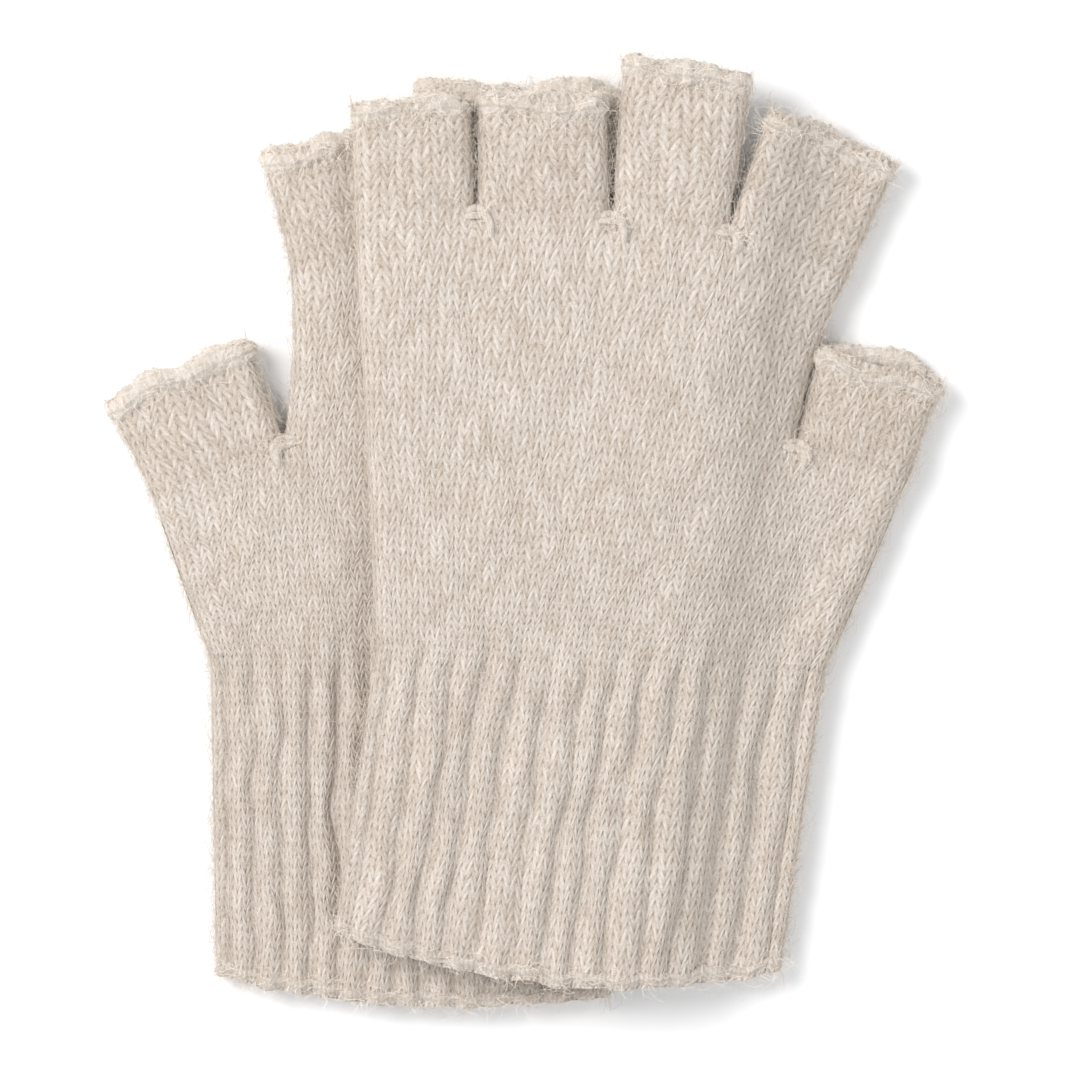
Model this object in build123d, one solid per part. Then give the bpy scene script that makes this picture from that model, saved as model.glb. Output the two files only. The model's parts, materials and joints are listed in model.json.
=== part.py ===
from build123d import *

import os
from math import acos, atan2, cos, degrees, radians, sin, sqrt

# A pair of knitted fingerless gloves in cream wool, lying flat: the right one rests on the left one.
#
# Both gloves lie palm up, fingers towards +Y, on the plane Z = 0. Each glove is a flattened tube of knitted
# fabric: a ribbed cuff with its hem, a palm, four finger stalls and a thumb stall, each stall ending in a
# rolled cast-off edge. The fabric is open inside, from the mouth of the cuff to the mouths of the stalls.
# The upper glove lies on the lower one and drapes down past its edge to the table.
# Units are millimetres. The origin is the centre of the pair's footprint, on the table.

# Fabric
FABRIC = 1.6            # thickness of one knitted layer
CAVITY = 5.0            # height of the space for the hand, as the glove lies
LAYER = 2 * FABRIC + CAVITY
FOLD_GAP = 0.4          # free space at a fold line and between neighbouring stalls
FOLD_ABOVE = 0.5        # a fold's axis lies this far above the fabric that folds towards the palm's face
ROLL_LENGTH = 4.2       # the cast-off edge curls back over this length
ROLL_PROUD = 0.9        # and stands this much above the stall
STACK_GAP = ROLL_PROUD + FOLD_GAP  # between the two palms: the upper glove clears the lower one's rolls
HEM_LENGTH = 2.6
HEM_PROUD = 0.4
TACK = (4.6, 3.0, 0.9)  # one group of joining stitches at the foot of two stalls: across, along, high
TACK_BACK = 3.6         # how far the stitches lie behind the foot of the stalls

# Drape of the upper glove over the lower one's edge
DRAPE_START = 1.0       # past the lower glove's edge
DRAPE_RADIUS = 22.0     # of both bends of the S

FOLD_STEPS = 20         # a fold's axis is set by the fabric's height at this many steps along it
REACH = 160.0           # half length of the helper solids, past the whole pair
LOW, HIGH = -5.0, 45.0  # their heights

# Each stall: centre of its foot (x, y), width at the foot, width at the mouth, length, heading from +Y.
# Hem and wrist: left and right end of the line across the cuff. Heading is positive towards +X.
# Sag: how far the middle of the hem hangs below the line between its ends.
# Waist: the point of the palm's side between the thumb and the forefinger.
LEFT = {
    "hem": ((-64.2, -91.6), (17.2, -95.8)),
    "hem_sag": 4.2,
    "wrist": ((-65.9, -25.0), (19.7, -25.7)),
    "stalls": {
        "index": ((-36.9, 59.3), 24.4, 27.6, 25.4, -11.5),
        "middle": ((-13.0, 62.8), 23.6, 23.0, 33.0, 3.5),
        "ring": ((9.6, 63.0), 21.6, 21.2, 32.6, 5.0),
        "little": ((30.3, 59.5), 20.0, 19.4, 25.0, 7.0),
    },
    "thumb": ((-64.0, 14.6), 29.8, 32.6, 23.2, -23.3),
    "thumb_side": -1,
    "waist": (-48.2, 40.0),
}
RIGHT = {
    "hem": ((-39.1, -82.0), (53.3, -90.5)),
    "hem_sag": 7.0,
    "wrist": ((-30.7, -21.9), (63.0, -28.0)),
    "stalls": {
        "little": ((-22.6, 68.5), 25.0, 25.0, 23.4, -2.7),
        "ring": ((4.0, 67.6), 27.6, 27.2, 25.6, -0.6),
        "middle": ((30.5, 65.2), 24.8, 27.4, 34.4, 6.0),
        "index": ((55.1, 59.7), 27.0, 29.2, 26.9, 22.0),
    },
    "thumb": ((68.7, 16.4), 24.6, 27.4, 21.6, 16.0),
    "thumb_side": 1,
    "waist": (60.2, 42.0),
}


# Plan geometry: a strip is a straight, slightly tapered length of tube seen from above
def directions(heading):
    """Unit vectors along a strip and across it to the right."""
    turn = radians(heading)
    return (sin(turn), cos(turn)), (cos(turn), -sin(turn))


def strip(foot, heading, width_0, width_1, along_0, along_1, length):
    """Corners of a strip between two distances along it: foot left, foot right, mouth right, mouth left."""
    ahead, across = directions(heading)

    def corner(along, side):
        half = (width_0 + (width_1 - width_0) * along / length) / 2 * side
        return (foot[0] + ahead[0] * along + across[0] * half, foot[1] + ahead[1] * along + across[1] * half)

    return [corner(along_0, -1), corner(along_0, 1), corner(along_1, 1), corner(along_1, -1)]


def stall_strip(stall, along_0, along_1, inset):
    """A stall's strip between two distances from its foot, drawn in by inset on each side."""
    foot, width_0, width_1, length, heading = stall
    return strip(foot, heading, width_0 - 2 * inset, width_1 - 2 * inset, along_0, along_1, length)


def cuff_strip(glove, along_0, along_1, inset):
    """Corners of the cuff between two distances from the hem's ends, drawn in by inset on each side."""
    hem_left, hem_right = (Vector(*end) for end in glove["hem"])
    wrist_left, wrist_right = (Vector(*end) for end in glove["wrist"])
    length = cuff_length(glove)

    def ends(along):
        left = hem_left + (wrist_left - hem_left) * (along / length)
        right = hem_right + (wrist_right - hem_right) * (along / length)
        inward = (right - left).normalized() * inset
        return left + inward, right - inward

    left_0, right_0 = ends(along_0)
    left_1, right_1 = ends(along_1)
    return [left_0, right_0, right_1, left_1]


def cuff_plan(glove, along_0, along_1, inset, curved_top=False):
    """The cuff's outline in plan: its lower side is an arc that sags like the hem, and so is a curved top."""
    left_0, right_0, right_1, left_1 = cuff_strip(glove, along_0, along_1, inset)
    down = (right_0 - left_0).normalized().rotate(Axis.Z, -90) * glove["hem_sag"]
    bottom = ThreePointArc(left_0, (left_0 + right_0) / 2 + down, right_0)
    top = Line(left_1, right_1)
    if curved_top:
        top = ThreePointArc(left_1, (left_1 + right_1) / 2 + down, right_1)
    return make_face(Curve([bottom, top, Line(left_0, left_1), Line(right_0, right_1)]))


def cuff_length(glove):
    """Distance between the middles of the hem and of the wrist line."""
    hem = (Vector(*glove["hem"][0]) + Vector(*glove["hem"][1])) / 2
    wrist = (Vector(*glove["wrist"][0]) + Vector(*glove["wrist"][1])) / 2
    return (wrist - hem).length


def all_stalls(glove):
    """The four finger stalls and the thumb's, with their names."""
    return [*glove["stalls"].items(), ("thumb", glove["thumb"])]


def foot_corners(stall):
    """Left and right end of the line where a stall meets the palm."""
    return stall_strip(stall, 0, stall[3], 0)[:2]


# Layers: a glove's fabric between two heights above whatever it lies on
DROP = LAYER + STACK_GAP                                # from the upper glove's height to the table
DRAPE_BEND = degrees(acos(1 - DROP / (2 * DRAPE_RADIUS)))


def edge_line():
    """The lower glove's right edge, from its hem's corner to its little stall's, as a point and a heading."""
    hem_corner = LEFT["hem"][1]
    little = LEFT["stalls"]["little"]
    little_corner = stall_strip(little, 0, little[3], 0)[2]
    return hem_corner, degrees(atan2(little_corner[0] - hem_corner[0], little_corner[1] - hem_corner[1]))


def flat_layer(z_0, z_1):
    return Pos(0, 0, (z_0 + z_1) / 2) * Box(2 * REACH, 2 * REACH, z_1 - z_0)


def draped_layer(z_0, z_1):
    """The layer on top of the lower glove, bent down past its edge in two arcs of DRAPE_RADIUS."""
    point, heading = edge_line()
    ahead, across = directions(heading)

    def path(height):
        flat = Line((-REACH, DROP + height), (DRAPE_START, DROP + height))
        over = JernArc(flat @ 1, (1, 0), DRAPE_RADIUS, -DRAPE_BEND)
        under = JernArc(over @ 1, over % 1, DRAPE_RADIUS, DRAPE_BEND)
        return [flat, over, under, Line(under @ 1, (REACH, height))]

    low, high = path(z_0), path(z_1)
    ends = [Line(low[-1] @ 1, high[-1] @ 1), Line(high[0] @ 0, low[0] @ 0)]
    section = Plane(
        origin=(point[0] + ahead[0] * REACH / 2, point[1] + ahead[1] * REACH / 2, 0),
        x_dir=(across[0], across[1], 0),
        z_dir=(-ahead[0], -ahead[1], 0),
    )
    profile = make_face(section * Curve(low + high + ends))
    return extrude(profile, amount=2 * REACH, both=True)


# Where the fabric folds
def flat_rest(x, y):
    """Height of what the lower glove lies on."""
    return 0.0


def draped_rest(x, y):
    """Height of what the upper glove lies on, from the two arcs of its drape."""
    point, heading = edge_line()
    across = directions(heading)[1]
    past = (x - point[0]) * across[0] + (y - point[1]) * across[1] - DRAPE_START
    reach = DRAPE_RADIUS * sin(radians(DRAPE_BEND))
    if past <= 0:
        return DROP
    if past <= reach:
        return DROP - DRAPE_RADIUS + sqrt(DRAPE_RADIUS**2 - past**2)
    if past <= 2 * reach:
        return DRAPE_RADIUS - sqrt(DRAPE_RADIUS**2 - (2 * reach - past) ** 2)
    return 0.0


def fold_axis(left, right, rest, level):
    """A fold's axis over the line from left to right: a straight line that clears the fabric under it.

    It follows the fabric's slope, or is level. Returns its middle and its direction."""
    shares = [step / FOLD_STEPS for step in range(FOLD_STEPS + 1)]
    run_x, run_y = right[0] - left[0], right[1] - left[1]
    heights = [rest(left[0] + run_x * share, left[1] + run_y * share) for share in shares]
    rise = 0.0 if level else heights[-1] - heights[0]
    base = max(height - rise * share for height, share in zip(heights, shares)) + LAYER + FOLD_ABOVE
    middle = Vector((left[0] + right[0]) / 2, (left[1] + right[1]) / 2, base + rise / 2)
    return middle, Vector(run_x, run_y, rise).normalized()


def fold_axes(side, glove, rest):
    """Every fold of one glove, by name: a turn about the axis lifts what lies beyond it."""
    axes = {}
    for name, stall in all_stalls(glove):
        axes[f"{side}_{name}"] = fold_axis(*foot_corners(stall), rest, False)
    middle, direction = fold_axis(*glove["wrist"], rest, True)
    axes[f"{side}_cuff"] = (middle, -direction)
    return axes


def prism(plan):
    """An upright prism through all the helper heights, over a face in plan or a list of its corners."""
    face = make_face(Polyline(*plan, close=True)) if isinstance(plan, list) else plan
    column = extrude(face, amount=HIGH - LOW, dir=(0, 0, 1))
    return Pos(0, 0, LOW) * column


def tube(outer, inner, layer, above=0.0):
    """A flattened tube: outer and inner are plan solids, and above raises its upper face."""
    return outer & layer(0, LAYER + above) - (inner & layer(FABRIC, LAYER - FABRIC))


# Sub-parts
def cuff(glove, layer):
    length = cuff_length(glove)
    outer = prism(cuff_plan(glove, HEM_LENGTH, length - FOLD_GAP, 0))
    inner = prism(cuff_plan(glove, -FABRIC, length + FABRIC, FABRIC))
    return tube(outer, inner, layer)


def cuff_hem(glove, layer):
    outer = prism(cuff_plan(glove, 0, HEM_LENGTH, -HEM_PROUD, curved_top=True))
    inner = prism(cuff_plan(glove, -FABRIC, HEM_LENGTH + FABRIC, FABRIC))
    return tube(outer, inner, layer, HEM_PROUD)


def stall_tube(stall, layer):
    length = stall[3]
    outer = prism(stall_strip(stall, FOLD_GAP, length - ROLL_LENGTH, FOLD_GAP))
    inner = prism(stall_strip(stall, -FABRIC, length + FABRIC, FOLD_GAP + FABRIC))
    return tube(outer, inner, layer)


def rolled_edge(stall, layer):
    length = stall[3]
    outer = prism(stall_strip(stall, length - ROLL_LENGTH, length, FOLD_GAP))
    inner = prism(stall_strip(stall, -FABRIC, length + FABRIC, FOLD_GAP + FABRIC))
    return tube(outer, inner, layer, ROLL_PROUD)


def palm(glove, layer):
    """The hand of the glove, with a throat through its rim for the cuff and for each stall."""
    stalls = list(glove["stalls"].values())
    feet = [corner for stall in stalls for corner in foot_corners(stall)]
    thumb_left, thumb_right = foot_corners(glove["thumb"])
    wrist_left, wrist_right = glove["wrist"]
    if glove["thumb_side"] > 0:
        rim = [wrist_left, *feet, glove["waist"], thumb_left, thumb_right, wrist_right]
    else:
        rim = [wrist_left, thumb_left, thumb_right, glove["waist"], *feet, wrist_right]
    body = make_face(Polyline(*rim, close=True))
    inner = prism(offset(body, -FABRIC, kind=Kind.INTERSECTION))
    throat = 3 * FABRIC
    for _, stall in all_stalls(glove):
        inner += prism(stall_strip(stall, -throat, throat, FOLD_GAP + FABRIC))
    length = cuff_length(glove)
    inner += prism(cuff_strip(glove, length - throat, length + throat, FABRIC))
    return tube(prism(body), inner, layer)


def joining_stitches(glove, layer):
    """A short thick tack of yarn on the palm behind each place where two stalls part."""
    stalls = list(glove["stalls"].values())
    places = []
    for left, right in zip(stalls, stalls[1:]):
        corner = (Vector(*foot_corners(left)[1]) + Vector(*foot_corners(right)[0])) / 2
        places.append((corner, (left[4] + right[4]) / 2))
    thumb = glove["thumb"]
    side = 0 if glove["thumb_side"] > 0 else 1
    places.append((Vector(*foot_corners(thumb)[side]), thumb[4] / 2))
    across, along, high = TACK
    inward = -glove["thumb_side"] * across
    tacks = []
    for number, (corner, heading) in enumerate(places):
        ahead, _ = directions(heading)
        aside = inward if number == len(stalls) - 1 else 0
        plan = Rot(0, 0, -heading) * RectangleRounded(across, along, along / 3)
        centre = (corner.X - ahead[0] * TACK_BACK + aside, corner.Y - ahead[1] * TACK_BACK)
        column = extrude(Pos(*centre, LOW) * plan, amount=HIGH - LOW)
        tacks.append(column & layer(LAYER, LAYER + high))
    return Compound(children=[solid for tack in tacks for solid in tack.solids()])


def glove_parts(side, glove, layer):
    """Every node of one glove, by name."""
    parts = {
        f"{side}_cuff": cuff(glove, layer),
        f"{side}_cuff_hem": cuff_hem(glove, layer),
        f"{side}_palm": palm(glove, layer),
        f"{side}_joining_stitches": joining_stitches(glove, layer),
    }
    for name, stall in all_stalls(glove):
        parts[f"{side}_{name}_stall"] = stall_tube(stall, layer)
        parts[f"{side}_{name}_rolled_edge"] = rolled_edge(stall, layer)
    return parts


def main():
    os.makedirs("parts", exist_ok=True)
    parts = {**glove_parts("left", LEFT, flat_layer), **glove_parts("right", RIGHT, draped_layer)}
    box = Compound(children=list(parts.values())).bounding_box()
    centre = Pos(-(box.min.X + box.max.X) / 2, -(box.min.Y + box.max.Y) / 2, -box.min.Z)
    print("centred by", centre.position, "size", box.size)
    for name, part in parts.items():
        solids = list((centre * part).solids())
        export_step(solids[0] if len(solids) == 1 else Compound(children=solids), f"parts/{name}.step")
    folds = {**fold_axes("left", LEFT, flat_rest), **fold_axes("right", RIGHT, draped_rest)}
    for name, (middle, direction) in folds.items():
        print("fold", name, "at", middle + centre.position, "along", direction)
    return centre.position, folds


main()
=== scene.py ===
import json
import math

import bmesh
import bpy
import numpy as np
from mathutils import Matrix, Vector


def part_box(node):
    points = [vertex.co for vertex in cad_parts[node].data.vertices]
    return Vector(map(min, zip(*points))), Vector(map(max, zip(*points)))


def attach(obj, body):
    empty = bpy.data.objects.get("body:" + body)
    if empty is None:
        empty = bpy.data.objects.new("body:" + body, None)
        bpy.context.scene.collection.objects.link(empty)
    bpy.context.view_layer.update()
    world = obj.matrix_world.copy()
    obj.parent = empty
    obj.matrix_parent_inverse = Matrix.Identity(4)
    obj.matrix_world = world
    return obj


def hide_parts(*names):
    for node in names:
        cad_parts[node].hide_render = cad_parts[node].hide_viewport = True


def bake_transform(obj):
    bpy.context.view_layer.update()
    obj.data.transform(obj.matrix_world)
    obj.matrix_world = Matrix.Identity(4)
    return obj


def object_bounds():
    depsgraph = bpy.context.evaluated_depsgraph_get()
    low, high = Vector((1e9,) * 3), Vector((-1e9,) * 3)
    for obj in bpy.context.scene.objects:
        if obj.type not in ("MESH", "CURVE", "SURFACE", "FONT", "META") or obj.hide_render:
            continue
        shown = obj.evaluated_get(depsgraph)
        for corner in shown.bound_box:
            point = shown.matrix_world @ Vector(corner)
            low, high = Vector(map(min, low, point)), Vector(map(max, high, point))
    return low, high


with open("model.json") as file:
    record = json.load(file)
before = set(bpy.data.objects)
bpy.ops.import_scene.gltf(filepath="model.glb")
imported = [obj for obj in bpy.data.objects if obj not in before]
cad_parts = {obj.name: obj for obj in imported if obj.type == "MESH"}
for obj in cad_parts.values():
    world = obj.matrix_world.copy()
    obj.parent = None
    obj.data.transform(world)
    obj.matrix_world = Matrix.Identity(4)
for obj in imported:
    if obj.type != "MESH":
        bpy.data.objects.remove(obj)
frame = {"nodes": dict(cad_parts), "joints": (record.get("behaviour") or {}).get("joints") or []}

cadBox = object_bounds()
mm = 0.001

# Pair of knitted fingerless gloves, the right one lying on the left one.
# Every outline comes from the frame: the folds give the stalls' feet, the nodes give widths and lengths.

knit = {
    "wale": 2.86 * mm,          # width of one column of stitches
    "course": 2.1 * mm,         # height of one row
    "slope": 1.5,               # courses that a leg of the V climbs over half a wale
    "columns": 6,               # mesh columns for one wale
    "rows": 4,                  # mesh rows for one course
    "relief": 0.18 * mm,        # yarn above the bottom of the grooves
    "hole": 0.20 * mm,          # extra depth where two legs meet
    "wander": 0.17,             # how far stitches stray, in wales and courses
    "wall": 1.5 * mm,           # fabric thickness, to the inside face
}
rib = {
    "repeat": 3,                # two knit wales and the groove
    "groove": 0.34,             # share of a repeat that is groove
    "depth": 1.9 * mm,
}
drape = {
    "start": 1.0 * mm,          # how far past the lower glove's side the upper one starts to fall
    "radius": 22.0 * mm,        # of both arcs that it falls along
}
print("frame loaded")


# small helpers

def smooth(x):                  # 0 below 0, 1 above 1, 3x squared minus 2x cubed between
    x = np.clip(x, 0, 1)
    return x * x * (3 - 2 * x)


def waves(x, y, seed, count, shortest, longest):
    # a sum of plane waves in seeded random directions, about -1 to 1
    rng = np.random.default_rng(seed)
    total = np.zeros(np.broadcast(x, y).shape)
    for _ in range(count):
        turn = rng.uniform(0, 2 * math.pi)
        step = 2 * math.pi / rng.uniform(shortest, longest)
        total += np.sin(step * (x * math.cos(turn) + y * math.sin(turn)) + rng.uniform(0, 2 * math.pi))
    return total / math.sqrt(count)


def meshObject(name, points, uv, quads, triangles=None, materials=(), slots=None, weld=False):
    # puts whole arrays into a mesh; uv holds wale and course numbers for every vertex
    points[:, 2] = np.maximum(points[:, 2], 0)          # nothing sinks into the floor
    faces = quads.tolist() + ([] if triangles is None else triangles.tolist())
    mesh = bpy.data.meshes.new(name)
    mesh.from_pydata(points.tolist(), [], faces)
    corner = np.empty(len(mesh.loops), np.int32)
    mesh.loops.foreach_get("vertex_index", corner)
    layer = mesh.uv_layers.new(name="stitch")
    layer.data.foreach_set("uv", uv[corner].astype(np.float32).ravel())
    if slots is not None:
        mesh.polygons.foreach_set("material_index", slots.astype(np.int32))
    if weld:
        bm = bmesh.new()
        bm.from_mesh(mesh)
        bmesh.ops.remove_doubles(bm, verts=bm.verts, dist=2e-6)
        bm.to_mesh(mesh)
        bm.free()
    mesh.polygons.foreach_set("use_smooth", np.ones(len(mesh.polygons), bool))
    mesh.set_sharp_from_angle(angle=math.radians(72))
    thing = bpy.data.objects.new(name, mesh)
    bpy.context.scene.collection.objects.link(thing)
    for material in materials:
        mesh.materials.append(material)
    return thing


def gridFaces(rows, columns, closed=False):
    # quads of a grid stored row by row; closed joins the last column to the first
    r = np.arange(rows - 1)[:, None]
    c = np.arange(columns if closed else columns - 1)[None, :]
    n = (c + 1) % columns
    here, above = r * columns, (r + 1) * columns
    return np.stack([here + c, here + n, above + n, above + c], -1).reshape(-1, 4)


# what the frame says

nodeCache = {}


def nodePoints(name):
    # the vertices of one node, read once
    if name not in nodeCache:
        mesh = frame["nodes"][name].data
        flat = np.empty(len(mesh.vertices) * 3, np.float32)
        mesh.vertices.foreach_get("co", flat)
        nodeCache[name] = flat.reshape(-1, 3).astype(float)
    return nodeCache[name]


joints = {j["name"]: j for j in frame["joints"]}


def measureStall(side, finger):
    # foot centre, directions, widths and length of one stall, from its fold and its two nodes
    fold = joints[f"{side}_{finger}_fold"]
    across = np.array(fold["axis"][:2])
    across = across / np.linalg.norm(across)
    ahead = np.array([-across[1], across[0]])
    foot = np.array(fold["pos_m"][:2])
    tube = nodePoints(f"{side}_{finger}_stall")[:, :2] - foot
    mouth = nodePoints(f"{side}_{finger}_rolled_edge")[:, :2] - foot
    length = (mouth @ ahead).max()
    nearFoot = np.abs((tube @ across)[tube @ ahead < 1.5 * mm])
    nearMouth = np.abs((mouth @ across)[mouth @ ahead > length - 0.5 * mm])
    gap = (tube @ ahead).min()
    return {"foot": foot, "across": across, "ahead": ahead, "length": length,
            "footWidth": 2 * (nearFoot.max() + gap), "mouthWidth": 2 * nearMouth.max(), "body": fold["child"]}


def measureCuff(side):
    # wrist line, hem line and the hem's sag
    fold = joints[f"{side}_cuff_fold"]
    across = -np.array(fold["axis"][:2])
    across = across / np.linalg.norm(across)
    down = np.array([across[1], -across[0]])
    middle = np.array(fold["pos_m"][:2])
    top = nodePoints(f"{side}_cuff")[:, :2] - middle
    nearWrist = (top @ across)[top @ down < 1.5 * mm]
    hem = nodePoints(f"{side}_cuff_hem")[:, :2]
    left = hem[np.argmin(hem @ (across - 0.4 * down))]
    right = hem[np.argmax(hem @ (across + 0.4 * down))]
    span = (right - left) / np.linalg.norm(right - left)
    out = np.array([span[1], -span[0]])
    return {"wristLeft": middle + across * nearWrist.min(), "wristRight": middle + across * nearWrist.max(),
            "hemLeft": left, "hemRight": right, "sag": ((hem - left) @ out).max(), "out": out}


def measureGlove(side):
    # all sizes of one glove; the little finger's node gives its thickness and the height it rests at
    lowest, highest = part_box(f"{side}_little_stall")
    glove = {"side": side, "sign": 1 if side == "right" else -1, "cuff": measureCuff(side),
             "thick": highest.z - lowest.z, "rest": lowest.z}
    for finger in ("little", "ring", "middle", "index", "thumb"):
        glove[finger] = measureStall(side, finger)
    return glove


gloves = {side: measureGlove(side) for side in ("left", "right")}

# the lower glove's far side, from its hem to its little finger: the upper one hangs over it
hemPoints = nodePoints("left_cuff_hem")
tipPoints = nodePoints("left_little_rolled_edge")
edgeFrom = hemPoints[np.argmax(hemPoints[:, 0])][:2]
edgeTo = tipPoints[np.argmax(tipPoints[:, 0])][:2]
edgeAhead = (edgeTo - edgeFrom) / np.linalg.norm(edgeTo - edgeFrom)
edgeAcross = np.array([edgeAhead[1], -edgeAhead[0]])


def restHeight(glove, x, y):
    # what the glove lies on: nothing, or the lower glove and then two arcs down to the table
    drop = glove["rest"]
    if drop < 1 * mm:
        return np.zeros(np.broadcast(x, y).shape)
    past = (x - edgeFrom[0]) * edgeAcross[0] + (y - edgeFrom[1]) * edgeAcross[1] - drape["start"]
    r = drape["radius"]
    half = r * math.sin(math.acos(1 - drop / (2 * r)))
    over = drop - r + np.sqrt(np.maximum(r * r - np.clip(past, 0, half) ** 2, 0))
    under = r - np.sqrt(np.maximum(r * r - np.clip(2 * half - past, 0, half) ** 2, 0))
    return np.where(past < half, over, under)


def capShare(share, radius, width, low=True, high=True):
    # share of the knitted width to share of the flat width: near an edge the fabric turns over
    # a quarter circle; low and high are how much of that holds at each end
    extra = radius * (math.pi / 2 - 1)

    def turned(run):            # how far the fabric's edge strip falls short of even spacing, from that edge
        arc = radius * (1 - np.cos(np.clip(run / radius, 0, math.pi / 2)))
        return np.where(run < radius * math.pi / 2, arc, run - extra)

    run = share * (width + 2 * extra)
    fromLow = turned(run)
    fromHigh = width - turned(width + 2 * extra - run)
    both = np.where(share < 0.5, fromLow, fromHigh) / width
    weight = np.where(share < 0.5, low, high)
    middle = smooth(1 - np.abs(share - 0.5) * 2 / 0.6)
    weight = weight + (0.5 * np.asarray(low) + 0.5 * np.asarray(high) - weight) * middle
    return share + (both - share) * weight


# plan of a glove: the pinky side is share 0, the thumb side is share 1

palmWales = {"fingers": 34, "thumb": 10}
palmCourses = {"whole": 42, "crotch": 24}
capRadius = 4.0 * mm


def lerp(a, b, t):
    # the place a share t of the way from a to b
    return a + (b - a) * np.asarray(t)[..., None]


def footEnds(glove, finger):
    # pinky-side end and thumb-side end of a stall's foot
    stall = glove[finger]
    half = stall["across"] * stall["footWidth"] / 2 * glove["sign"]
    return stall["foot"] - half, stall["foot"] + half


def wristEnds(glove):
    # pinky-side end and thumb-side end of the wrist
    ends = glove["cuff"]["wristLeft"], glove["cuff"]["wristRight"]
    return ends if glove["sign"] > 0 else ends[::-1]


fingerNames = ("little", "ring", "middle", "index")


def feetShares(glove):
    # where each finger's foot starts and ends, as a share of the palm's finger wales, in whole wales
    widths = np.array([glove[f]["footWidth"] for f in fingerNames])
    nf = palmWales["fingers"]
    return np.round(np.concatenate([[0], np.cumsum(widths) / widths.sum()]) * nf) / nf


def waistPull(glove):
    # between the thumb and the index finger the palm's side is hollow: how far, at its deepest
    top, low = footEnds(glove, "index")[1], footEnds(glove, "thumb")[0]
    run = (top - low) / np.linalg.norm(top - low)
    out = np.array([run[1], -run[0]]) * glove["sign"]
    rim = nodePoints(f"{glove['side']}_palm")[:, :2] - low
    share = (rim @ run) / np.linalg.norm(top - low)
    near = rim[(share > 0.4) & (share < 0.85)]
    return out * min((near @ out).max(), 0)


def palmPlan(glove, wale, course):
    # flat place of a palm stitch: a parabola along each wale through the wrist, the crotch's level
    # and the feet of the stalls
    nf, nt = palmWales["fingers"], palmWales["thumb"]
    level = palmCourses["crotch"] / palmCourses["whole"]
    t = course / palmCourses["whole"]
    wristPinky, wristThumb = wristEnds(glove)
    width = np.linalg.norm(wristThumb - wristPinky)
    wrist = lerp(wristPinky, wristThumb, capShare(wale / (nf + nt), capRadius, width))
    thumbIn, thumbOut = footEnds(glove, "thumb")
    pinkyFoot = footEnds(glove, "little")[0]
    indexFoot = footEnds(glove, "index")[1]
    side = lerp(wristPinky, pinkyFoot, np.array(level))
    finger, thumb = np.clip(wale / nf, 0, 1), np.clip((wale - nf) / nt, 0, 1)
    middle = lerp(side, thumbIn, capShare(finger, capRadius, np.linalg.norm(thumbIn - side), 1, 0))
    thumbShare = capShare(thumb, capRadius, np.linalg.norm(thumbOut - thumbIn), 0, 1)
    middle = np.where((wale > nf)[..., None], lerp(thumbIn, thumbOut, thumbShare), middle)
    feet = np.zeros(finger.shape + (2,))
    shares = glove["shares"]
    for i, name in enumerate(fingerNames):
        a, b = footEnds(glove, name)
        local = np.clip((finger - shares[i]) / (shares[i + 1] - shares[i]), 0, 1)
        ends = (name == "little", name == "index")
        place = lerp(a, b, capShare(local, capRadius, np.linalg.norm(b - a), *ends))
        inside = (finger >= shares[i]) if i else np.ones(finger.shape, bool)
        feet = np.where(inside[..., None], place, feet)
    wristOut = wristThumb + (thumbOut - wristThumb) / level
    feet = np.where((wale > nf)[..., None], lerp(indexFoot, wristOut, thumb), feet)
    k0 = (t - level) * (t - 1) / level
    k1 = t * (t - 1) / (level * (level - 1))
    k2 = t * (t - level) / (1 - level)
    pull = np.sin(math.pi * np.clip((t - level) / (1 - level), 0, 1)) * np.where(wale > nf, 0, finger ** 4)
    plan = wrist * k0[..., None] + middle * k1[..., None] + feet * k2[..., None]
    return plan + pull[..., None] * glove["waist"]


def cuffPlan(glove, share, along):
    # share across the cuff from pinky side to thumb side, along 0 at the hem and 1 at the wrist
    cuff = glove["cuff"]
    hem = (cuff["hemLeft"], cuff["hemRight"])
    if glove["sign"] < 0:
        hem = hem[::-1]
    sag = cuff["sag"] * 4 * share * (1 - share) * (1 - along)
    low = lerp(hem[0], hem[1], share) + cuff["out"] * sag[..., None]
    high = lerp(*wristEnds(glove), share)
    return low + (high - low) * along[..., None]


def sideLines(glove):
    # the flat outline without its mouths: sides of the cuff, the palm and every stall, as segments
    runs = []
    along = np.linspace(0, 1, 7)
    for share in (0.0, 1.0):
        runs.append(cuffPlan(glove, np.full(along.shape, share), along))
    nf, nt = palmWales["fingers"], palmWales["thumb"]
    whole, crotch = palmCourses["whole"], palmCourses["crotch"]
    for wale, first, last in ((0, 0, whole), (nf, crotch, whole), (nf + nt, 0, crotch)):
        course = np.linspace(first, last, 25)
        runs.append(palmPlan(glove, np.full(course.shape, float(wale)), course))
    for finger in (*fingerNames, "thumb"):
        stall = glove[finger]
        for sign in (-1, 1):
            start = stall["foot"] + stall["across"] * stall["footWidth"] / 2 * sign
            mouth = stall["foot"] + stall["ahead"] * stall["length"]
            runs.append(np.array([start, mouth + stall["across"] * stall["mouthWidth"] / 2 * sign]))
    starts = np.concatenate([r[:-1] for r in runs])
    ends = np.concatenate([r[1:] for r in runs])
    return starts, ends


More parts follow.
